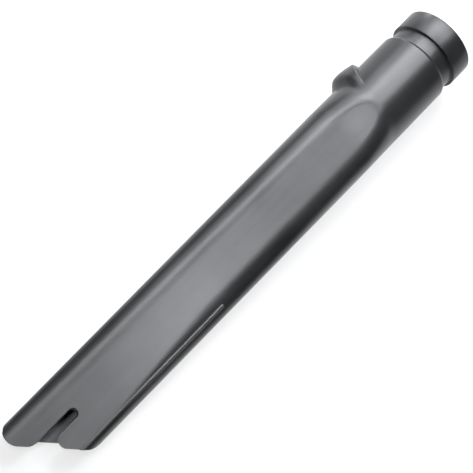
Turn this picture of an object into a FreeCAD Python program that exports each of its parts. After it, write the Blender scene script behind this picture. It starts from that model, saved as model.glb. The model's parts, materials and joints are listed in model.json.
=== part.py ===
import FreeCAD, Part
import math
import os

from FreeCAD import Vector

# A crevice tool for a vacuum cleaner, moulded in one piece. A round spigot with a latch groove runs into
# a tube that flattens to a blade. A lug stands on the long side, a rail runs along the front edge of the
# short side, and the slanted mouth has a bleed slot in its front wall.
# Lengths are in millimetres. A station is a distance along the tool's axis from the spigot's open end.

# Spigot and latch groove
bore_diameter = 31.5
collar_wall = 2.75
collar_length = 12.2
groove_width = 7.4
groove_depth = 1.6
lead_in = 0.9
collar_edge_round = 0.9
groove_edge_chamfer = 0.4

# Tube between the groove and the scoop
tube_wall = 2.55
lip_wall = 2.8
scoop_start = 59.5
lip_arc_width = 6.0

# Blade: thickness at the foot of the scoop, at mid-length and at the mouth
overall_length = 310.8
scoop_length = 18.5
scoop_foot_thickness = 29.8
scoop_blend = 12.0
middle_station = 182.0
middle_thickness = 19.0
middle_blend = 60.0
mouth_thickness = 12.4
blade_width = 37.5
foot_flat_width = 18.4
mouth_flat_width = 26.0
chord_share = 0.82
blade_wall = 2.0
section_step = 20.0
scoop_steps = 6

# Slanted mouth
mouth_slant_deg = 44.0
mouth_front_lean_deg = 15.0
mouth_back_lean_deg = 60.0
long_corner_round = 6.65
short_corner_round = 9.0
side_margin = 0.02

# Bleed slot in the front wall, its length from the mouth's edge at mid-width
slot_width = 5.0
slot_length = 26.4
short_lobe_round = 4.0
long_lobe_round = 6.0

# Lug on the long side: a rounded nose on the tube, with a ledge that arches towards the spigot
lug_nose_radius = 9.0
lug_apex_station = 42.6
lug_apex_round = 4.1
lug_flank_deg = 55.0
lug_top_station = 38.0
lug_top_height = 1.9
lug_rise_station = 47.5
lug_rise_height = 4.2
lug_peak_station = 52.5
lug_peak_height = 4.6
lug_shoulder_station = 55.8
lug_shoulder_height = 4.1
lug_foot_station = 59.6
lug_ledge_round = 0.5

# Rail along the front edge of the short side
rail_start = 182.0
rail_start_inset = 3.7
rail_mouth_inset = 2.7
rail_start_width = 1.2
rail_mouth_width = 2.8
rail_start_drop = 1.0
rail_mouth_drop = 0.5
rail_side_run = 3.0
rail_edge_round = 0.4

bore_radius = bore_diameter / 2
collar_radius = bore_radius + collar_wall
groove_radius = collar_radius - groove_depth
tube_radius = bore_radius + tube_wall
lip_radius = bore_radius + lip_wall
groove_end = collar_length + groove_width
half_blade = blade_width / 2
foot_station = scoop_start + scoop_length
overrun = mouth_thickness + 2 * long_corner_round
loft_end = overall_length + overrun
front_lean = math.tan(math.radians(mouth_front_lean_deg))
back_lean = math.tan(math.radians(mouth_back_lean_deg))
slant = math.tan(math.radians(mouth_slant_deg))


def point(station, across, depth):
    return Vector(across, -station, depth)


def ramp(run, blend):
    # a slope that starts at zero, eased over the blend length
    if run <= -blend / 2:
        return 0.0
    if run >= blend / 2:
        return run
    return (run + blend / 2) ** 2 / (2 * blend)


def half_thickness(station):
    # two flats and a scoop, joined by eased bends
    scoop_slope = (scoop_foot_thickness / 2 - lip_radius) / scoop_length
    upper_slope = (middle_thickness - scoop_foot_thickness) / 2 / (middle_station - foot_station)
    lower_slope = (mouth_thickness - middle_thickness) / 2 / (overall_length - middle_station)
    depth = lip_radius + scoop_slope * (station - scoop_start)
    depth += (upper_slope - scoop_slope) * ramp(station - foot_station, scoop_blend)
    depth += (lower_slope - upper_slope) * ramp(station - middle_station, middle_blend)
    return depth


def half_flat(station):
    # the scoop's flat is a chord of the tube, until it reaches the flat width of the blade
    depth = half_thickness(station)
    chord = chord_share * math.sqrt(max(lip_radius ** 2 - depth ** 2, 0))
    share = (station - foot_station) / (overall_length - foot_station)
    blade = (foot_flat_width + (mouth_flat_width - foot_flat_width) * max(share, 0)) / 2
    return (chord ** -4 + blade ** -4) ** -0.25


def half_width(station):
    share = min((station - scoop_start) / scoop_length, 1)
    return lip_radius + (half_blade - lip_radius) * share


def conic(start, corner, end, half_turn=math.pi / 4):
    # an arc of a circle or an ellipse between two tangents that meet in the corner
    curve = Part.BezierCurve()
    curve.setPoles([start, corner, end])
    curve.setWeight(2, math.cos(half_turn))
    return curve.toShape()


def section(station, wide, deep, flat):
    # flats on the front and the back, joined by half-elliptic sides
    def at(across, depth):
        return point(station, across, depth)

    edges = [
        Part.makeLine(at(-flat, deep), at(flat, deep)),
        conic(at(flat, deep), at(wide, deep), at(wide, 0)),
        conic(at(wide, 0), at(wide, -deep), at(flat, -deep)),
        Part.makeLine(at(flat, -deep), at(-flat, -deep)),
        conic(at(-flat, -deep), at(-wide, -deep), at(-wide, 0)),
        conic(at(-wide, 0), at(-wide, deep), at(-flat, deep)),
    ]
    return Part.Wire(edges)


def round_section(station, radius):
    # a circle in the same six pieces as the other sections
    def at(angle, reach):
        return point(station, reach * math.sin(angle), reach * math.cos(angle))

    half = math.asin(lip_arc_width / 2 / lip_radius)
    marks = [-half, half, math.pi / 2, math.pi - half, math.pi + half, 1.5 * math.pi, 2 * math.pi - half]
    edges = []
    for start, end in zip(marks, marks[1:]):
        half_turn = (end - start) / 2
        corner = at(start + half_turn, radius / math.cos(half_turn))
        edges.append(conic(at(start, radius), corner, at(end, radius), half_turn))
    return Part.Wire(edges)


def loft_stations():
    # close together through the scoop and its blend, then evenly down the blade
    step = scoop_length / scoop_steps
    close = math.ceil((scoop_length + scoop_blend / 2) / step)
    stations = [scoop_start + step * index for index in range(1, close + 1)]
    first = stations[-1]
    count = math.ceil((loft_end - first) / section_step)
    return stations + [first + (loft_end - first) * index / count for index in range(1, count + 1)]


def blade_solid(lip, wall):
    wires = [round_section(scoop_start, lip)]
    for station in loft_stations():
        wide = half_width(station) - wall
        deep = half_thickness(station) - wall
        wires.append(section(station, wide, deep, half_flat(station)))
    return Part.makeLoft(wires, True, True)


def rounded_outline(corners):
    # a closed wire through corners given as point and radius, each radius a tangent arc
    points = [corner for corner, radius in corners]
    edges = []
    ends = []
    for index, (corner, radius) in enumerate(corners):
        before = (points[index - 1] - corner).normalize()
        after = (points[(index + 1) % len(points)] - corner).normalize()
        half = before.getAngle(after) / 2
        reach = radius / math.tan(half)
        start = corner + before * reach
        end = corner + after * reach
        bisector = (before + after).normalize()
        middle = corner + bisector * (radius / math.sin(half) - radius)
        if radius > 0:
            edges.append(Part.Arc(start, middle, end).toShape())
        ends.append((start, end))
    for index in range(len(ends)):
        edges.append(Part.makeLine(ends[index - 1][1], ends[index][0]))
    return Part.Wire(Part.__sortEdges__(edges))


def revolved(profile):
    # profile points are radius and station
    points = [point(station, radius, 0) for radius, station in profile]
    face = Part.Face(Part.makePolygon(points + points[:1]))
    return face.revolve(Vector(0, 0, 0), Vector(0, 1, 0), 360)


def spigot():
    chamfer = groove_edge_chamfer
    solid = revolved([
        (0, 0),
        (collar_radius, 0),
        (collar_radius, collar_length - chamfer),
        (collar_radius - chamfer, collar_length),
        (groove_radius, collar_length),
        (groove_radius, groove_end),
        (tube_radius - chamfer, groove_end),
        (tube_radius, groove_end + chamfer),
        (lip_radius, scoop_start),
        (0, scoop_start),
    ])
    end_rim = [edge for edge in solid.Edges if edge.BoundBox.YMin > -side_margin and is_round(edge)]
    return solid.makeFillet(collar_edge_round, end_rim)


def is_round(edge):
    return isinstance(edge.Curve, Part.Circle)


def airway():
    bore = revolved([
        (0, -lead_in),
        (bore_radius + 2 * lead_in, -lead_in),
        (bore_radius, lead_in),
        (bore_radius, scoop_start),
        (0, scoop_start),
    ])
    return bore.fuse(blade_solid(bore_radius, blade_wall))


def lug_section(station, height):
    # a nose circle joined to the tube by two tangents, shifted in or out to stand at the height
    centre = lip_radius + lug_peak_height - lug_nose_radius
    turn = math.acos((lip_radius - lug_nose_radius) / centre)
    shift = lug_peak_height - height

    def at(across, depth):
        return point(station, shift - across, depth)

    tube_end = (lip_radius * math.cos(turn), lip_radius * math.sin(turn))
    nose_end = (centre + lug_nose_radius * math.cos(turn), lug_nose_radius * math.sin(turn))
    front_root = at(*tube_end)
    front_nose = at(*nose_end)
    back_nose = at(nose_end[0], -nose_end[1])
    back_root = at(tube_end[0], -tube_end[1])
    edges = [
        Part.makeLine(front_root, front_nose),
        Part.Arc(front_nose, at(centre + lug_nose_radius, 0), back_nose).toShape(),
        Part.makeLine(back_nose, back_root),
        Part.makeLine(back_root, front_root),
    ]
    return Part.Wire(edges)


def side_lug():
    # the nose swells and falls along the tube, and its upper end is cut to an arch as seen from the side
    sections = [
        lug_section(lug_top_station, lug_top_height),
        lug_section(lug_rise_station, lug_rise_height),
        lug_section(lug_peak_station, lug_peak_height),
        lug_section(lug_shoulder_station, lug_shoulder_height),
        lug_section(lug_foot_station, 0),
    ]
    nose = Part.makeLoft(sections, True, True)
    flank = math.radians(lug_flank_deg)
    corner_station = lug_apex_station - lug_apex_round * (1 / math.sin(flank) - 1)
    reach = 2 * collar_radius
    end_station = corner_station + reach / math.tan(flank)
    corners = [(corner_station, 0, lug_apex_round), (end_station, reach, 0), (end_station, -reach, 0)]
    outline = rounded_outline([(point(station, -reach, depth), radius) for station, depth, radius in corners])
    arch = Part.Face(outline).extrude(Vector(reach, 0, 0))
    lug = nose.common(arch)
    ledge = [edge for edge in lug.Edges if arch.Shells[0].distToShape(middle_of(edge))[0] < side_margin]
    outer_ledge = [edge for edge in ledge if math.hypot(middle_of(edge).X, middle_of(edge).Z) > lip_radius]
    return lug.makeFillet(lug_ledge_round, outer_ledge)


def middle_of(edge):
    return Part.Vertex(edge.valueAt((edge.FirstParameter + edge.LastParameter) / 2))


def rail_section(station, inset, width, drop):
    edge = half_blade - inset
    top = half_thickness(station) - drop
    corners = [
        point(station, edge - width, 0),
        point(station, edge - width, half_thickness(station) - 2 * drop / 3),
        point(station, edge, top),
        point(station, edge + rail_side_run * (top / half_thickness(station)), 0),
    ]
    return Part.makePolygon(corners + corners[:1])


def edge_rail():
    start = rail_section(rail_start, rail_start_inset, rail_start_width, rail_start_drop)
    end = rail_section(loft_end, rail_mouth_inset, rail_mouth_width, rail_mouth_drop)
    rail = Part.makeLoft([start, end], True, True)
    long_edges = [edge for edge in rail.Edges if edge.Length > (loft_end - rail_start) / 2]
    outer_edge = max(long_edges, key=lambda edge: edge.CenterOfMass.x + edge.CenterOfMass.z)
    end_edges = [edge for edge in rail.Edges if abs(edge.CenterOfMass.y + rail_start) < side_margin]
    top_edge = max(end_edges, key=lambda edge: edge.CenterOfMass.z)
    return rail.makeFillet(rail_edge_round, [outer_edge, top_edge])


def mouth_station(across):
    # the slanted mouth in front view: the long corner's round ends at the overall length
    turn = math.radians(90 - mouth_slant_deg)
    round_centre = overall_length - long_corner_round
    tangent_station = round_centre + long_corner_round * math.sin(turn)
    tangent_across = -half_blade + long_corner_round + long_corner_round * math.cos(turn)
    return tangent_station - slant * (across - tangent_across)


slot_start = mouth_station(0) - slot_length


def front_level(station, across, depth):
    # shifts a point of the front outline along the mouth, which leans more behind the tool's middle
    shift = (max(depth, 0) - half_thickness(overall_length)) * front_lean + min(depth, 0) * back_lean
    return point(station + shift, across, depth)


def leaned_waste(outline, top, bottom):
    # everything past the outline, between two depths
    keep = Part.Face(rounded_outline([(front_level(s, a, top), r) for s, a, r in outline]))
    wide = blade_width
    far = loft_end + overrun
    first = slot_start - overrun
    frame = [(first, -wide), (far, -wide), (far, wide), (first, wide)]
    corners = [front_level(station, across, top) for station, across in frame]
    waste = Part.Face(Part.makePolygon(corners + corners[:1])).cut(keep)
    return waste.extrude(front_level(0, 0, bottom) - front_level(0, 0, top))


def mouth_cutters():
    side = half_blade + side_margin
    half_slot = slot_width / 2
    first = slot_start - overrun
    round_end = slot_start + half_slot
    long_side = [(first, -side, 0), (mouth_station(-side), -side, long_corner_round)]
    short_side = [(mouth_station(side), side, short_corner_round), (first, side, 0)]
    notch = [
        (mouth_station(-half_slot), -half_slot, long_lobe_round),
        (round_end, -half_slot, 0),
        (round_end, half_slot, 0),
        (mouth_station(half_slot), half_slot, short_lobe_round),
    ]
    front = leaned_waste(long_side + notch + short_side, scoop_foot_thickness, 0)
    back = leaned_waste(long_side + short_side, 0, -scoop_foot_thickness)
    return [front, back]


def slot_cutter():
    half_slot = slot_width / 2
    centre = slot_start + half_slot
    round_end = Part.makeCylinder(half_slot, scoop_foot_thickness, point(centre, 0, 0), Vector(0, 0, 1))
    corner = point(loft_end, -half_slot, 0)
    straight = Part.makeBox(slot_width, loft_end - centre, scoop_foot_thickness, corner)
    return round_end.fuse(straight)


def moulded_tool():
    outside = spigot().fuse([blade_solid(lip_radius, 0), side_lug(), edge_rail()])
    hollow = outside.cut(airway())
    return hollow.cut(mouth_cutters() + [slot_cutter()]).removeSplitter()


def at_rest(shape):
    # the tool lies on its back, on the lip of the scoop and the back edge of the mouth
    drop = lip_radius - half_thickness(overall_length)
    back_end = overall_length - mouth_thickness / 2 * (front_lean + back_lean)
    tilt = math.degrees(math.atan2(drop, back_end - scoop_start))
    shape.rotate(Vector(0, 0, 0), Vector(1, 0, 0), tilt)
    box = shape.optimalBoundingBox()
    shape.translate(Vector(-box.Center.x, -box.Center.y, -box.ZMin))
    return shape


os.makedirs("parts", exist_ok=True)
tool = at_rest(moulded_tool())
tool.exportStep("parts/crevice_tool.step")
print("solids", len(tool.Solids), "valid", tool.isValid(), "volume", round(tool.Volume, 1))
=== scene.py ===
import json
import math

import bmesh
import bpy
from mathutils import Matrix, Vector


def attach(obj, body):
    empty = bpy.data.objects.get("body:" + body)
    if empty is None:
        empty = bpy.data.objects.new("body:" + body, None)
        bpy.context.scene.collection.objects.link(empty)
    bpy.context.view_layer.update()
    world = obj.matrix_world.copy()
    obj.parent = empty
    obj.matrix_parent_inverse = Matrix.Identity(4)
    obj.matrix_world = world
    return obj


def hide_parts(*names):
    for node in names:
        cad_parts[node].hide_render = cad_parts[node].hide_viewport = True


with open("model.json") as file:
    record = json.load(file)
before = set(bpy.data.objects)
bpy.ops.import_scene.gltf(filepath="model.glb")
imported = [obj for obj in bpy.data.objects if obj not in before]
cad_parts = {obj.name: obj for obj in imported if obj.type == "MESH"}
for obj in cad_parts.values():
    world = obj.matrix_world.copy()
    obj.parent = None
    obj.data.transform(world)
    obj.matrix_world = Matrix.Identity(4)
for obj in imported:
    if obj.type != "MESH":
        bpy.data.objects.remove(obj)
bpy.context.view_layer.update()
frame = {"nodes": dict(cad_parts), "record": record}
bpy.context.scene.view_settings.view_transform = "Standard"
print("frame loaded", sorted(frame["nodes"]))


class Wire:  # a socket that can be used in sums
    def __init__(self, tree, socket):
        self.tree = tree
        self.socket = socket

    def node(self, kind, settings=None, out=0, **values):  # any other node of the same tree
        return Wire(self.tree, addNode(self.tree, kind, settings, values).outputs[out])

    def maths(self, operation, *others):
        node = addNode(self.tree, "ShaderNodeMath", {"operation": operation}, {})
        for place, value in zip(node.inputs, (self,) + others):
            feed(self.tree, place, value)
        return Wire(self.tree, node.outputs[0])

    def clamped(self):  # held between nothing and one
        return self.node("ShaderNodeClamp", None, Value=self)

    def __add__(self, other):
        return self.maths("ADD", other)

    def __radd__(self, other):
        return self.maths("ADD", other)

    def __sub__(self, other):
        return self.maths("SUBTRACT", other)

    def __rsub__(self, other):
        return (self * -1).maths("ADD", other)

    def __mul__(self, other):
        return self.maths("MULTIPLY", other)

    def __rmul__(self, other):
        return self.maths("MULTIPLY", other)

    def __truediv__(self, other):
        return self.maths("DIVIDE", other)

    def __pow__(self, other):
        return self.maths("POWER", other)


def feed(tree, place, value):
    if isinstance(value, Wire):
        tree.links.new(value.socket, place)
    else:
        place.default_value = value


def addNode(tree, kind, settings, values):
    node = tree.nodes.new(kind)
    for name, value in (settings or {}).items():
        setattr(node, name, value)
    for name, value in values.items():  # a socket's identifier, or its name with spaces underlined
        place = next(s for s in node.inputs if name in (s.identifier, s.name.replace(" ", "_")))
        feed(tree, place, value)
    return node


view = {"mount": "latch_collar", "collarMiddle": 0.00635, "tilt": 26.8, "roll": 45.5,  # camera
        "distance": 3.05, "pixelsPerMetre": 2089, "spigotPixel": (438.7, 40.8), "imageSize": 473,
        "sensor": 36, "clipEnd": 20}
sideways = Vector((1, 0, 0))  # from the long side to the short side


def toolFrame():  # the tool's own directions, from its collar
    collar = next(m for m in frame["record"]["mounts"] if m["name"] == view["mount"])
    axis = Vector(collar["axis"])
    spigotEnd = Vector(collar["pos_m"]) + axis * view["collarMiddle"]
    return axis, sideways.cross(axis), spigotEnd


axis, front, spigotEnd = toolFrame()  # front is the slot's side


def setCamera():
    tilt, roll = math.radians(view["tilt"]), math.radians(view["roll"])
    ahead = math.sin(tilt) * axis - math.cos(tilt) * front
    along = math.cos(tilt) * axis + math.sin(tilt) * front
    right = math.cos(roll) * along + math.sin(roll) * sideways
    up = math.sin(roll) * along - math.cos(roll) * sideways
    half = view["imageSize"] / 2
    offX, offY = [(pixel - half) / view["pixelsPerMetre"] for pixel in view["spigotPixel"]]
    place = spigotEnd - view["distance"] * ahead - offX * right + offY * up
    focal = view["pixelsPerMetre"] * view["distance"]  # in pixels
    camera = bpy.data.objects.new("camera", bpy.data.cameras.new("camera"))
    camera.data.sensor_width = view["sensor"]
    camera.data.lens = focal * view["sensor"] / view["imageSize"]
    camera.data.clip_end = view["clipEnd"]
    turn = Matrix((right, up, -ahead)).transposed().to_4x4()
    camera.matrix_world = Matrix.Translation(place) @ turn
    bpy.context.collection.objects.link(camera)
    bpy.context.scene.camera = camera
    print("camera lens", round(camera.data.lens, 1))


setCamera()

softboxes = {  # turn across the tool, lean towards the spigot, aim at a place across and a station
    "key": {"turn": -10, "lean": 18, "spin": 0, "aim": (0, 0.15), "away": 1.6,
            "size": (1.16, 0.8), "power": 9.5},
    "sideLight": {"turn": 0, "lean": 0, "spin": -35, "aim": (-0.59, -0.42), "away": 0.3,
                  "size": (1.1, 0.4), "power": 6.5},
    "collarLight": {"turn": -17, "lean": 36, "spin": 0, "aim": (0, 0.036), "away": 0.5,
                    "size": (0.48, 0.17), "power": 3.6},
    "bladeLight": {"turn": 1, "lean": 11.8, "spin": 0, "aim": (0.003, 0.135), "away": 0.347,
                   "size": (0.07, 0.08), "power": 0.3},
    "streakLight": {"turn": -26, "lean": 16, "spin": 0, "aim": (-0.011, 0.105), "away": 0.6,
                    "size": (0.1, 0.18), "power": 1.3},
    "scoopLight": {"turn": 0, "lean": 5, "spin": 0, "aim": (0, 0.07), "away": 0.4,
                   "size": (0.12, 0.05), "power": 0.16},
    "edgeLight": {"turn": -86, "lean": 50, "spin": 0, "aim": (-0.02, 0.046), "away": 0.3,
                  "size": (0.04, 0.04), "power": 0.22},
    "mouthLight": {"turn": -12, "lean": -28, "spin": 0, "aim": (0, 0.285), "away": 0.5,
                   "size": (0.06, 0.2), "power": 1.4}}
studio = {"lampTint": (0.945, 0.962, 1), "worldGrey": 0.02}


def setLight():
    for name, box in softboxes.items():
        turn, lean = math.radians(box["turn"]), math.radians(box["lean"])
        upright = math.sin(turn) * sideways + math.cos(turn) * front
        back = math.cos(lean) * upright + math.sin(lean) * axis
        lamp = bpy.data.objects.new(name, bpy.data.lights.new(name, "AREA"))
        lamp.data.shape = "RECTANGLE"
        lamp.data.size, lamp.data.size_y = box["size"]
        lamp.data.energy = box["power"]
        lamp.data.color = studio["lampTint"]
        side = axis.cross(back).normalized()
        lampTurn = Matrix((side, back.cross(side), back)).transposed().to_4x4()
        lampTurn = lampTurn @ Matrix.Rotation(math.radians(box["spin"]), 4, "Z")
        target = spigotEnd + sideways * box["aim"][0] - axis * box["aim"][1]
        lamp.matrix_world = Matrix.Translation(target + back * box["away"]) @ lampTurn
        bpy.context.collection.objects.link(lamp)
    world = bpy.data.worlds.new("studio")
    world.use_nodes = True
    bpy.context.scene.world = world
    grey = studio["worldGrey"]
    world.node_tree.nodes["Background"].inputs["Color"].default_value = (grey, grey, grey, 1)


setLight()

paper = {"reach": 6, "below": 0.0002, "grey": 0.85, "rough": 0.8, "glow": 0.7}  # floor


def setFloor():
    mesh = bpy.data.meshes.new("floor")
    far = paper["reach"]
    corners = [(-far, -far, 0), (far, -far, 0), (far, far, 0), (-far, far, 0)]
    mesh.from_pydata(corners, [], [(0, 1, 2, 3)])
    floor = bpy.data.objects.new("floor", mesh)
    floor.location.z = -paper["below"]
    bpy.context.collection.objects.link(floor)
    white = bpy.data.materials.new("whitePaper")
    white.use_nodes = True
    tree = white.node_tree
    matte = tree.nodes["Principled BSDF"]
    matte.inputs["Base Color"].default_value = (paper["grey"], paper["grey"], paper["grey"], 1)
    matte.inputs["Roughness"].default_value = paper["rough"]
    glow = addNode(tree, "ShaderNodeEmission", None, {"Strength": 1.0})
    path = tree.nodes.new("ShaderNodeLightPath")
    seen = Wire(tree, path.outputs["Is Camera Ray"])
    for name in ("Is Glossy Ray", "Is Transmission Ray"):
        seen = seen.maths("MAXIMUM", Wire(tree, path.outputs[name]))
    mix = addNode(tree, "ShaderNodeMixShader", None, {})
    feed(tree, mix.inputs[0], seen * paper["glow"])
    tree.links.new(matte.outputs[0], mix.inputs[1])
    tree.links.new(glow.outputs[0], mix.inputs[2])
    tree.links.new(mix.outputs[0], tree.nodes["Material Output"].inputs["Surface"])
    mesh.materials.append(white)


setFloor()
print("camera, light and floor set")

# inside is painted light: a paler grey on the airway walls, standing in for the light that falls through the
# slot
plastic = {"grey": 0.013, "inside": 0.1, "rough": 0.34, "insideRough": 0.3, "ior": 1.38,
           "gloss": 0.12, "glossRough": 0.3, "tint": (1, 1.01, 1.05),
           "grain": (2400, 2.0), "mottle": (42, 3.0), "cloud": (13, 1.0), "streak": (1.0, 2.0),  # scale, detail
           "streakStretch": (260, 5, 260),
           "greyMix": {"mottle": 0.5, "streak": 0.4, "cloud": 0.4},
           "roughMix": {"mottle": 0.1, "streak": 0.08, "grain": 0.06, "cloud": 0.16},
           "glossMix": {"cloud": 0.9, "mottle": 0.35, "streak": 0.25},
           "reliefMix": {"grain": 1, "mottle": 3}, "reliefStrength": 0.25, "reliefHeight": 0.00004,
           "edge": 0.00035, "edgeSamples": 4, "edgeGain": 5,
           "wornGain": 4, "wornStart": 0.5, "wornGrey": 0.012, "wornRough": 0.05}


def mouldedPlastic():
    material = bpy.data.materials.new("mouldedPlastic")
    material.use_nodes = True
    tree = material.node_tree
    shader = tree.nodes["Principled BSDF"]
    place = Wire(tree, tree.nodes.new("ShaderNodeTexCoord").outputs["Object"])

    def vectors(operation, out, first, second):
        return place.node("ShaderNodeVectorMath", {"operation": operation}, out,
                          Vector=first, Vector_001=second)

    def noise(name, where):  # about nothing, up and down
        scale, detail = plastic[name]
        return place.node("ShaderNodeTexNoise", None, Vector=where, Scale=scale, Detail=detail) - 0.5

    drawn = vectors("MULTIPLY", 0, place, plastic["streakStretch"])  # lines along the tool
    pattern = {name: noise(name, place) for name in ("grain", "mottle", "cloud")}
    pattern["streak"] = noise("streak", drawn)

    def mixed(shares):
        return sum(pattern[name] * share for name, share in shares.items())

    rounded = place.node("ShaderNodeBevel", {"samples": plastic["edgeSamples"]}, Radius=plastic["edge"])
    flatNormal = Wire(tree, tree.nodes.new("ShaderNodeNewGeometry").outputs["Normal"])
    agree = vectors("DOT_PRODUCT", 1, rounded, flatNormal)
    edge = ((1 - agree) * plastic["edgeGain"]).maths("MINIMUM", 1.0)
    worn = (edge * (pattern["mottle"] * plastic["wornGain"] + plastic["wornStart"])).clamped()  # rubbed
    depth = addNode(tree, "ShaderNodeAttribute", {"attribute_name": "inset"}, {}).outputs["Fac"]
    within = (Wire(tree, depth) / body["wall"]).maths("MINIMUM", 1.0)  # painted light: the airway is painted paler, standing in for the light that falls through the slot onto its back wall, and is dull
    grey = plastic["grey"] * (1 + mixed(plastic["greyMix"]))
    # painted light: the paler grey inside the airway stands in for the light on its back wall
    grey = grey + worn * plastic["wornGrey"] + within * plastic["inside"]
    red, green, blue = [grey * share for share in plastic["tint"]]
    tint = place.node("ShaderNodeCombineColor", None, Red=red, Green=green, Blue=blue)
    rough = plastic["rough"] + mixed(plastic["roughMix"])
    rough = rough - worn * plastic["wornRough"] + within * plastic["insideRough"]
    skin = place.node("ShaderNodeBump", None, Strength=plastic["reliefStrength"],
                      Distance=plastic["reliefHeight"], Height=mixed(plastic["reliefMix"]), Normal=rounded)
    gloss = (plastic["gloss"] + mixed(plastic["glossMix"])) * (1 - within)
    sockets = {"Base Color": tint, "Roughness": rough, "Normal": skin, "Coat Weight": gloss,
               "Coat Roughness": plastic["glossRough"], "IOR": plastic["ior"]}
    for name, value in sockets.items():
        feed(tree, shader.inputs[name], value)
    return material


body = {"lipRadius": 0.0185, "scoopStart": 0.0595, "scoopEase": 0.005, "scoopLength": 0.0185,
        "scoopBlend": 0.012, "footThickness": 0.0298, "middleStation": 0.182, "middleThickness": 0.019,
        "middleBlend": 0.06, "mouthThickness": 0.01232, "length": 0.3108, "bladeWidth": 0.0375,
        "footFlat": 0.0158, "mouthFlat": 0.0168, "flatEase": 0.002, "chordShare": 0.82, "wall": 0.002,
        "railStart": 0.192, "railFlush": 0.266, "railFlat": 0.0073, "square": 0.31}
spigot = {"bore": 0.01575, "boreStation": 0.03, "leadIn": 0.0009, "leadRound": 0.0005, "boreRound": 0.0003,
          "collar": 0.01846, "collarLength": 0.0122, "endRound": 0.0009, "edgeRound": 0.0004,
          "grooveDepth": 0.0016, "grooveWidth": 0.0074, "grooveRound": 0.0003, "tube": 0.0183,
          "tubeDrop": 0.00045, "dropRound": 0.0002, "tubeTaper": 0.0011, "taperRound": 0.0006,
          "tubeSwell": 0.00016, "swellStation": 0.044, "lastRing": 0.052}
mouth = {"slant": 44, "frontLean": (15, 42), "backLean": (60, 42), "longRound": 0.00665,
         "shortRound": 0.006, "slotWidth": 0.005, "slotStart": 0.2753, "shortLobeRound": 0.004,
         "longLobeRound": 0.006, "tipStart": 0.256}
net = {"sideColumns": 80, "backColumns": 72, "slotTurn": 15,  # stations and angles of the body
       "slotSteps": (0.00012, 0.00035, 0.0007, 0.00115, 0.0016, 0.002),
       "scoopFirst": 0.0545, "scoopStep": 0.0015, "scoopRows": 26, "bladeRows": 26,
       "upperRows": 7, "lowerRows": 14, "upperShare": 0.6}


def roundedProfile(corners, steps=4):  # two places and the round of each corner
    points = []
    for index, (x, y, size) in enumerate(corners):
        here = Vector((x, y))
        if not size:
            points.append((x, y))
            continue
        before = (Vector(corners[index - 1][:2]) - here).normalized()
        after = (Vector(corners[index + 1][:2]) - here).normalized()
        half = before.angle(after) / 2
        start, end = [here + way * (size / math.tan(half)) for way in (before, after)]
        centre = here + (before + after).normalized() * (size / math.sin(half))
        sweep = math.pi - 2 * half
        for step in range(steps + 1):
            share = step / steps
            a, b = math.sin((1 - share) * sweep), math.sin(share * sweep)
            arm = ((start - centre) * a + (end - centre) * b) / math.sin(sweep)
            points.append(tuple(centre + arm))
    return points


def frontOutline(across, onFront):  # station of the mouth's edge on the front face
    slant = math.radians(mouth["slant"])
    half, slot = body["bladeWidth"] / 2, mouth["slotWidth"] / 2
    longMiddle = -half + mouth["longRound"]
    straightStart = body["length"] - mouth["longRound"] + mouth["longRound"] / math.cos(slant)

    def straight(place):
        return straightStart - math.tan(slant) * (place - longMiddle)

    def rounded(middle, size):
        rise = math.sqrt(max(size ** 2 - (across - middle) ** 2, 0))
        return straight(middle) - size / math.cos(slant) + rise

    reach = math.sin(slant)
    if across < longMiddle + mouth["longRound"] * reach:
        return rounded(longMiddle, mouth["longRound"])
    if across > half - mouth["shortRound"] * (1 - reach):
        return rounded(half - mouth["shortRound"], mouth["shortRound"])
    longLobe = -slot - mouth["longLobeRound"]
    shortLobe = slot + mouth["shortLobeRound"]
    if onFront and longLobe + mouth["longLobeRound"] * reach < across <= 0:
        return rounded(longLobe, mouth["longLobeRound"])
    if onFront and 0 < across < shortLobe + mouth["shortLobeRound"] * reach:
        return rounded(shortLobe, mouth["shortLobeRound"])
    return straight(across)


def rimStation(across, depth):  # station of the mouth's edge through the wall
    share = min(max(across / body["bladeWidth"] + 0.5, 0), 1)  # from the long side to the short side
    leans = [low + (high - low) * share for low, high in (mouth["frontLean"], mouth["backLean"])]
    ahead, behind = [math.tan(math.radians(lean)) for lean in leans]
    drop = (body["mouthThickness"] / 2 - max(depth, 0)) * ahead - min(depth, 0) * behind
    return frontOutline(across, depth > 0) - drop


def netColumns():  # angles round the section, close together at the slot
    half, slot = body["bladeWidth"] / 2, mouth["slotWidth"] / 2
    sides, backs, steps = net["sideColumns"], net["backColumns"], net["slotSteps"]
    outer = math.acos((slot + steps[-1]) / half)
    right = [outer * k / sides for k in range(sides)]
    right += [math.acos((slot + step) / half) for step in reversed(steps)]
    turns = range(90, -91, -net["slotTurn"])
    inside = [math.acos(slot * math.sin(math.radians(turn)) / half) for turn in turns]
    left = [math.pi - angle for angle in reversed(right)]
    back = [math.pi + math.pi * k / backs for k in range(1, backs)]
    return right + inside + left + back, len(right), len(right) + len(inside) - 1


def spigotProfile():  # radius and station, from the bore round the end to the tube
    bore, collar, tube = spigot["bore"], spigot["collar"], spigot["tube"]
    floor, last = collar - spigot["grooveDepth"], spigot["lastRing"]
    grooveStart = spigot["collarLength"]
    grooveEnd = grooveStart + spigot["grooveWidth"]
    return roundedProfile([
        (bore, last, 0), (bore, spigot["boreStation"], 0), (bore, spigot["leadIn"], spigot["leadRound"]),
        (bore + spigot["leadIn"], 0, spigot["boreRound"]), (collar, 0, spigot["endRound"]),
        (collar, grooveStart, spigot["edgeRound"]), (floor, grooveStart, spigot["grooveRound"]),
        (floor, grooveEnd, spigot["grooveRound"]),
        (tube - spigot["tubeDrop"], grooveEnd, spigot["dropRound"]),
        (tube, grooveEnd + spigot["tubeTaper"], spigot["taperRound"]),
        (tube + spigot["tubeSwell"], spigot["swellStation"], 0), (body["lipRadius"], last, 0)])


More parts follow.
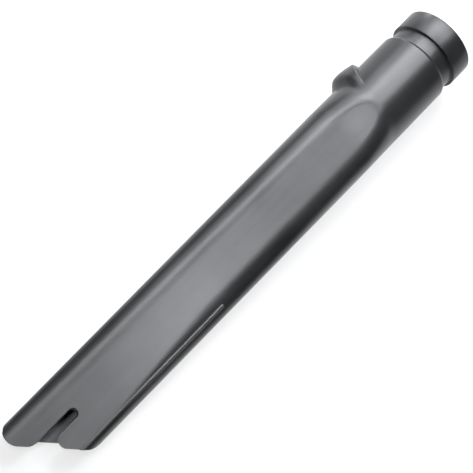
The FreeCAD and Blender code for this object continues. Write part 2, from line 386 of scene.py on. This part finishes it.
def bodyNet():  # rows of angle, station, inset and ring
    angles, slotFirst, slotLast = netColumns()
    half, slot, wall = body["bladeWidth"] / 2, mouth["slotWidth"] / 2, body["wall"]
    thick, flat = body["mouthThickness"] / 2, body["mouthFlat"] / 2
    start, slotMiddle = mouth["tipStart"], mouth["slotStart"] + slot
    upperRows, lowerRows = net["upperRows"], net["lowerRows"]
    rows = [[(angle, station, 0.0, radius) for angle in angles] for radius, station in spigotProfile()]
    stations = [net["scoopFirst"] + net["scoopStep"] * k for k in range(net["scoopRows"])]
    scoopEnd, count = stations[-1], net["bladeRows"]
    stations += [scoopEnd + (start - scoopEnd) * k / count for k in range(1, count + 1)]

    def tipRows(inset):
        ends, turns = [], []
        for index, angle in enumerate(angles):
            wide, deep = half - inset, thick - inset
            across = wide * math.cos(angle)
            edge = flat + body["railFlat"] if across > 0 else flat
            power = 0.5 if across > 0 else body["square"]
            level = max(1 - (max(abs(across) - edge, 0) / (wide - edge)) ** 2, 0) ** power
            rim = rimStation(across, math.copysign(deep * level, math.sin(angle)))
            turn = min(slotMiddle, start + (rim - start) * net["upperShare"])
            if slotFirst < index < slotLast:
                turn = slotMiddle - math.sqrt(slot ** 2 - (half * math.cos(angle)) ** 2)
                rim = turn
            ends.append(rim)
            turns.append(turn)
        upper = [[(angle, start + (turn - start) * k / upperRows, inset, 0.0)
                  for angle, turn in zip(angles, turns)] for k in range(1, upperRows + 1)]
        lower = [[(angle, turn + (end - turn) * k / lowerRows, inset, 0.0)
                  for angle, turn, end in zip(angles, turns, ends)] for k in range(1, lowerRows + 1)]
        return upper, lower

    outside = [[(angle, station, 0.0, 0.0) for angle in angles] for station in stations]
    within = [[(angle, station, wall, 0.0) for angle in angles] for station in reversed(stations)]
    upperOut, lowerOut = tipRows(0.0)
    upperIn, lowerIn = tipRows(wall)
    rows += outside + upperOut
    slotRow = len(rows) - 1
    rows += lowerOut + lowerIn[::-1]
    slotRowIn = len(rows)
    rows += upperIn[::-1] + within
    print("net", len(angles), "columns", len(rows), "rows")
    return rows, slotFirst, slotLast, slotRow, slotRowIn


def netMesh():
    rows, slotFirst, slotLast, slotRow, slotRowIn = bodyNet()
    wide, tall = len(rows[0]), len(rows)

    def face(*corners):  # row and column of each corner
        return [row * wide + column for row, column in corners]

    faces = []
    for i in range(tall):
        below = (i + 1) % tall
        for j in range(wide):
            side = (j + 1) % wide
            if slotFirst <= j < slotLast and slotRow <= i < slotRowIn:
                continue  # the slot
            faces.append(face((i, j), (i, side), (below, side), (below, j)))
    for j in range(slotFirst, slotLast):  # round end of the slot
        faces.append(face((slotRow, j), (slotRow, j + 1), (slotRowIn, j + 1), (slotRowIn, j)))
    for j in (slotFirst, slotLast):  # sides of the slot
        for k in range((slotRowIn - slotRow - 1) // 2):
            outer, inner = slotRow + k, slotRowIn - k
            faces.append(face((outer, j), (outer + 1, j), (inner - 1, j), (inner, j)))
    points = [(math.cos(angle), -station, math.sin(angle)) for row in rows for angle, station, *rest in row]
    mesh = bpy.data.meshes.new("bodyNet")
    mesh.from_pydata(points, [], faces)
    for place, name in enumerate(("angle", "station", "inset", "ring")):
        values = [vertex[place] for row in rows for vertex in row]
        mesh.attributes.new(name, "FLOAT", "POINT").data.foreach_set("value", values)
    return mesh


thicknesses = ("footThickness", "middleThickness", "mouthThickness")  # from the scoop to the tip


def bodyTree():
    tree = bpy.data.node_groups.new("flattenedTube", "GeometryNodeTree")

    def socket(name, kind, way="INPUT"):
        return tree.interface.new_socket(name=name, in_out=way, socket_type="NodeSocket" + kind)

    socket("Geometry", "Geometry")
    socket("Geometry", "Geometry", "OUTPUT")
    for name, value in body.items():
        socket(name, "Float").default_value = value
    socket("restTilt", "Float")
    socket("spigotEnd", "Vector")
    socket("plastic", "Material")
    given = tree.nodes.new("NodeGroupInput")
    size = {place.name: Wire(tree, place) for place in given.outputs if place.name}

    def stored(name):
        return size["lipRadius"].node("GeometryNodeInputNamedAttribute", {"data_type": "FLOAT"}, Name=name)

    def eased(run, blend):  # a slope that starts from nothing over the blend
        begun = (run / blend + 0.5).clamped()
        return begun * begun * blend * 0.5 + (run - blend * 0.5).maths("MAXIMUM", 0.0)

    angle, station, inset, ring = [stored(name) for name in ("angle", "station", "inset", "ring")]
    isRing = ring.maths("GREATER_THAN", 0.0)  # the spigot's rows are circles
    lip, run = size["lipRadius"], station - size["scoopStart"]
    footStation = size["scoopStart"] + size["scoopLength"]
    foot, middle, tip = [size[name] * 0.5 for name in thicknesses]
    scoopSlope = (foot - lip) / size["scoopLength"]
    upperSlope = (middle - foot) / (size["middleStation"] - footStation)
    lowerSlope = (tip - middle) / (size["length"] - size["middleStation"])
    deep = lip + scoopSlope * eased(run, size["scoopEase"])
    deep = deep + (upperSlope - scoopSlope) * eased(station - footStation, size["scoopBlend"])
    deep = deep + (lowerSlope - upperSlope) * eased(station - size["middleStation"], size["middleBlend"])
    chord = (lip * lip - deep * deep).maths("MAXIMUM", 0.0).maths("SQRT") * size["chordShare"]
    share = ((station - footStation) / (size["length"] - footStation)).maths("MAXIMUM", 0.0)
    blade = size["footFlat"] * 0.5 + (size["mouthFlat"] - size["footFlat"]) * 0.5 * share
    flat = chord * blade / ((chord ** 4 + blade ** 4) ** 0.25)  # the lesser of the two, blended
    widening = (run / size["scoopLength"]).clamped()
    wide = lip + (size["bladeWidth"] * 0.5 - lip) * widening
    wide = (wide - inset) * (1 - isRing) + ring
    deep = (deep - inset) * (1 - isRing) + ring
    across = wide * angle.maths("COSINE")
    filled = ((station - size["railStart"]) / (size["railFlush"] - size["railStart"])).clamped()
    filled = filled * across.maths("GREATER_THAN", 0.0)
    flat = (flat + size["railFlat"] * filled) * (1 - isRing)  # wider towards the rail
    ease = size["flatEase"] * widening * (1 - isRing)

    def begin(reach):  # grows softly from nothing
        return reach + (reach * reach + ease * ease).maths("SQRT")

    beyond = begin(across.maths("ABSOLUTE") - flat) / begin(wide - flat)
    power = 0.5 + (size["square"] - 0.5) * widening * (1 - filled)  # from round to squarer sides
    level = (1 - beyond * beyond).maths("MAXIMUM", 0.0) ** power * angle.maths("SINE").maths("SIGN")
    place = across.node("ShaderNodeCombineXYZ", None, X=across, Y=station * -1, Z=deep * level)
    moved = place.node("GeometryNodeSetPosition", None, Geometry=size["Geometry"], Position=place)
    turn = place.node("ShaderNodeCombineXYZ", None, X=size["restTilt"], Y=0.0, Z=0.0)
    laid = moved.node("GeometryNodeTransform", None, Geometry=moved, Rotation=turn,
                      Translation=size["spigotEnd"])
    single = laid.node("GeometryNodeRealizeInstances", None, Geometry=laid)
    dressed = single.node("GeometryNodeSetMaterial", None, Geometry=single, Material=size["plastic"])
    tree.links.new(dressed.socket, tree.nodes.new("NodeGroupOutput").inputs[0])
    return tree


def toolBody(material):
    piece = bpy.data.objects.new("bodyShell", netMesh())
    bpy.context.collection.objects.link(piece)
    tree = bodyTree()
    shaping = piece.modifiers.new("flattenedTube", "NODES")
    shaping.node_group = tree
    restTilt = math.atan2(axis.z, axis.y)
    values = {"restTilt": restTilt, "spigotEnd": tuple(spigotEnd), "plastic": material}
    for socket in tree.interface.items_tree:
        if socket.in_out == "INPUT" and socket.name in values:
            shaping[socket.identifier] = values[socket.name]
    graph = bpy.context.evaluated_depsgraph_get()
    mesh = bpy.data.meshes.new_from_object(piece.evaluated_get(graph))
    bpy.data.objects.remove(piece)
    print("body", len(mesh.polygons), "faces")
    return mesh


def laidOut(across, station, depth):  # tool sizes to the frame
    return spigotEnd + sideways * across - axis * station + front * depth


def shellMesh(name, outer, inner):  # a closed shell from two matching grids
    tall, wide = len(outer), len(outer[0])
    points = [point for grid in (outer, inner) for row in grid for point in row]
    under = tall * wide
    faces = []
    for i in range(tall - 1):
        for j in range(wide - 1):
            a, d = i * wide + j, (i + 1) * wide + j
            faces += [(a, a + 1, d + 1, d), (under + d, under + d + 1, under + a + 1, under + a)]
    edge = list(range(wide)) + [i * wide + wide - 1 for i in range(1, tall)]
    edge += [(tall - 1) * wide + j for j in reversed(range(wide - 1))]
    edge += [i * wide for i in reversed(range(1, tall - 1))]
    for a, b in zip(edge, edge[1:] + edge[:1]):
        faces.append((b, a, under + a, under + b))
    mesh = bpy.data.meshes.new(name)
    mesh.from_pydata(points, [], faces)
    return mesh


lug = {"apex": 0.0426, "apexRound": 0.0041, "flank": 55, "top": 0.038, "topHeight": 0.0019,  # on the long side
       "peak": 0.0525, "height": 0.0046, "foot": 0.0596, "spread": 60, "root": 0.0172, "draft": 0.44,
       "strip": 0.0009, "sink": 0.00016, "sinkShare": 0.6, "shoulder": 0.6, "endSlope": 1.9, "endBend": 5,
       "riseEase": 1.6, "reach": 0.0015, "wallFoot": 0.0004, "under": 0.0001, "rows": 40, "columns": 65,
       "rowEase": 1.7}


def lugMesh():
    spread = math.radians(lug["spread"])
    tube = spigot["tube"] + spigot["tubeSwell"]

    def tubeRadius(station):
        run = (station - spigot["swellStation"]) / (spigot["lastRing"] - spigot["swellStation"])
        return tube + (body["lipRadius"] - tube) * min(max(run, 0), 1)

    def bump(turn, station):  # height over the tube
        if station > lug["peak"]:  # a round shoulder on the side, softer towards the front
            share = min((station - lug["peak"]) / (lug["foot"] - lug["peak"]), 1)
            near = min(abs(turn) / lug["shoulder"], 1)
            soft = near * near * (3 - 2 * near)
            slope = (1 - share) * lug["endSlope"]
            firm = slope / (1 + slope ** lug["endBend"]) ** (1 / lug["endBend"])
            swell = firm * (1 - soft) + math.cos(share * math.pi / 2) ** 2 * soft
        else:
            share = (lug["peak"] - station) / (lug["peak"] - lug["top"])
            swell = 1 - (1 - lug["topHeight"] / lug["height"]) * share ** lug["riseEase"]
        return lug["height"] * swell * math.cos(turn / spread * math.pi / 2) ** 2

    def ledge(depth):  # a rounded arch as seen from the side
        flank = math.radians(lug["flank"])
        middle = lug["apex"] + lug["apexRound"]
        if abs(depth) < lug["apexRound"] * math.cos(flank):
            return middle - math.sqrt(lug["apexRound"] ** 2 - depth ** 2)
        return middle - lug["apexRound"] / math.sin(flank) + abs(depth) / math.tan(flank)

    outer, inner = [], []
    for k in range(lug["rows"]):
        outerRow, innerRow = [], []
        for j in range(lug["columns"]):
            turn = spread * (2 * j / (lug["columns"] - 1) - 1)
            first = ledge(math.sin(turn) * (body["lipRadius"] + lug["reach"]))
            rise = bump(turn, first)
            if k == 0:  # foot of the drafted wall
                station, radius = first - lug["draft"] * rise, tubeRadius(first) - lug["wallFoot"]
            elif k == 1:  # top of the wall
                top = max(rise - lug["sink"], rise * lug["sinkShare"])
                station, radius = first, tubeRadius(first) + top - lug["under"]
            else:
                share = 1 - (1 - (k - 2) / (lug["rows"] - 3)) ** lug["rowEase"]
                start = first + lug["strip"]
                station = start + (lug["foot"] - start) * share
                radius = tubeRadius(station) + bump(turn, station) - lug["under"]
            for row, reach in ((outerRow, radius), (innerRow, lug["root"])):
                row.append(laidOut(-reach * math.cos(turn), station, reach * math.sin(turn)))
        outer.append(outerRow)
        inner.append(innerRow)
    return shellMesh("sideLug", outer, inner)


rail = {"start": 0.1855, "end": 0.3108, "outer": (0.01505, 0.0158), "inner": (0.01385, 0.0142),  # front edge
        "drop": (0.0006, -0.00015), "fall": 0.00008, "edgeRound": 0.0006, "innerRound": 0.0003,
        "rootDepth": 0.003, "sideRun": 0.0018, "sideDepth": 0.4, "sink": 0.001, "stopStation": 0.2908,
        "steps": 60}


def halfThickness(station):  # of the blade below the scoop
    def eased(run, blend):
        begun = min(max(run / blend + 0.5, 0), 1)
        return begun * begun * blend / 2 + max(run - blend / 2, 0)

    footStation = body["scoopStart"] + body["scoopLength"]
    foot, middle, tip = [body[name] / 2 for name in thicknesses]
    upper = (middle - foot) / (body["middleStation"] - footStation)
    lower = (tip - middle) / (body["length"] - body["middleStation"])
    bend = (lower - upper) * eased(station - body["middleStation"], body["middleBlend"])
    return foot + upper * (station - footStation) + bend


def railMesh():
    def profile(station):
        share = (station - rail["start"]) / (rail["end"] - rail["start"])
        pairs = [rail[name] for name in ("outer", "inner", "drop")]
        edge, root, drop = [first + (last - first) * share for first, last in pairs]
        deep = halfThickness(station)
        return roundedProfile([
            (root, deep - rail["rootDepth"], 0), (root, deep - drop + rail["fall"], rail["innerRound"]),
            (edge, deep - drop, rail["edgeRound"]),
            (edge + rail["sideRun"], deep * rail["sideDepth"], 0)])

    stops = [rimStation(across, depth) for across, depth in profile(rail["stopStation"])]
    outer, inner = [], []
    for k in range(rail["steps"] + 1):
        outerRow, innerRow = [], []
        for j, stop in enumerate(stops):
            station = rail["start"] + (stop - rail["start"]) * k / rail["steps"]
            across, depth = profile(station)[j]
            outerRow.append(laidOut(across, station, depth))
            innerRow.append(laidOut(across - rail["sink"], station, depth - rail["sink"]))
        outer.append(outerRow)
        inner.append(innerRow)
    return shellMesh("edgeRail", outer, inner)


finish = {"weld": 1e-7, "sharp": 35}  # of the whole tool


def mouldedTool(material):
    shape = bmesh.new()
    for mesh in (toolBody(material), lugMesh(), railMesh()):
        part = bmesh.new()
        part.from_mesh(mesh)
        bmesh.ops.remove_doubles(part, verts=part.verts, dist=finish["weld"])
        bmesh.ops.recalc_face_normals(part, faces=part.faces)
        part.to_mesh(mesh)
        part.free()
        shape.from_mesh(mesh)
        bpy.data.meshes.remove(mesh)
    whole = bpy.data.meshes.new("mouldedTool")
    shape.to_mesh(whole)
    shape.free()
    whole.materials.clear()
    whole.materials.append(material)
    whole.shade_smooth()
    whole.set_sharp_from_angle(angle=math.radians(finish["sharp"]))
    piece = bpy.data.objects.new("mouldedTool", whole)
    bpy.context.collection.objects.link(piece)
    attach(piece, "root")
    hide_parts("crevice_tool")
    print("tool", len(whole.polygons), "faces")


mouldedTool(mouldedPlastic())
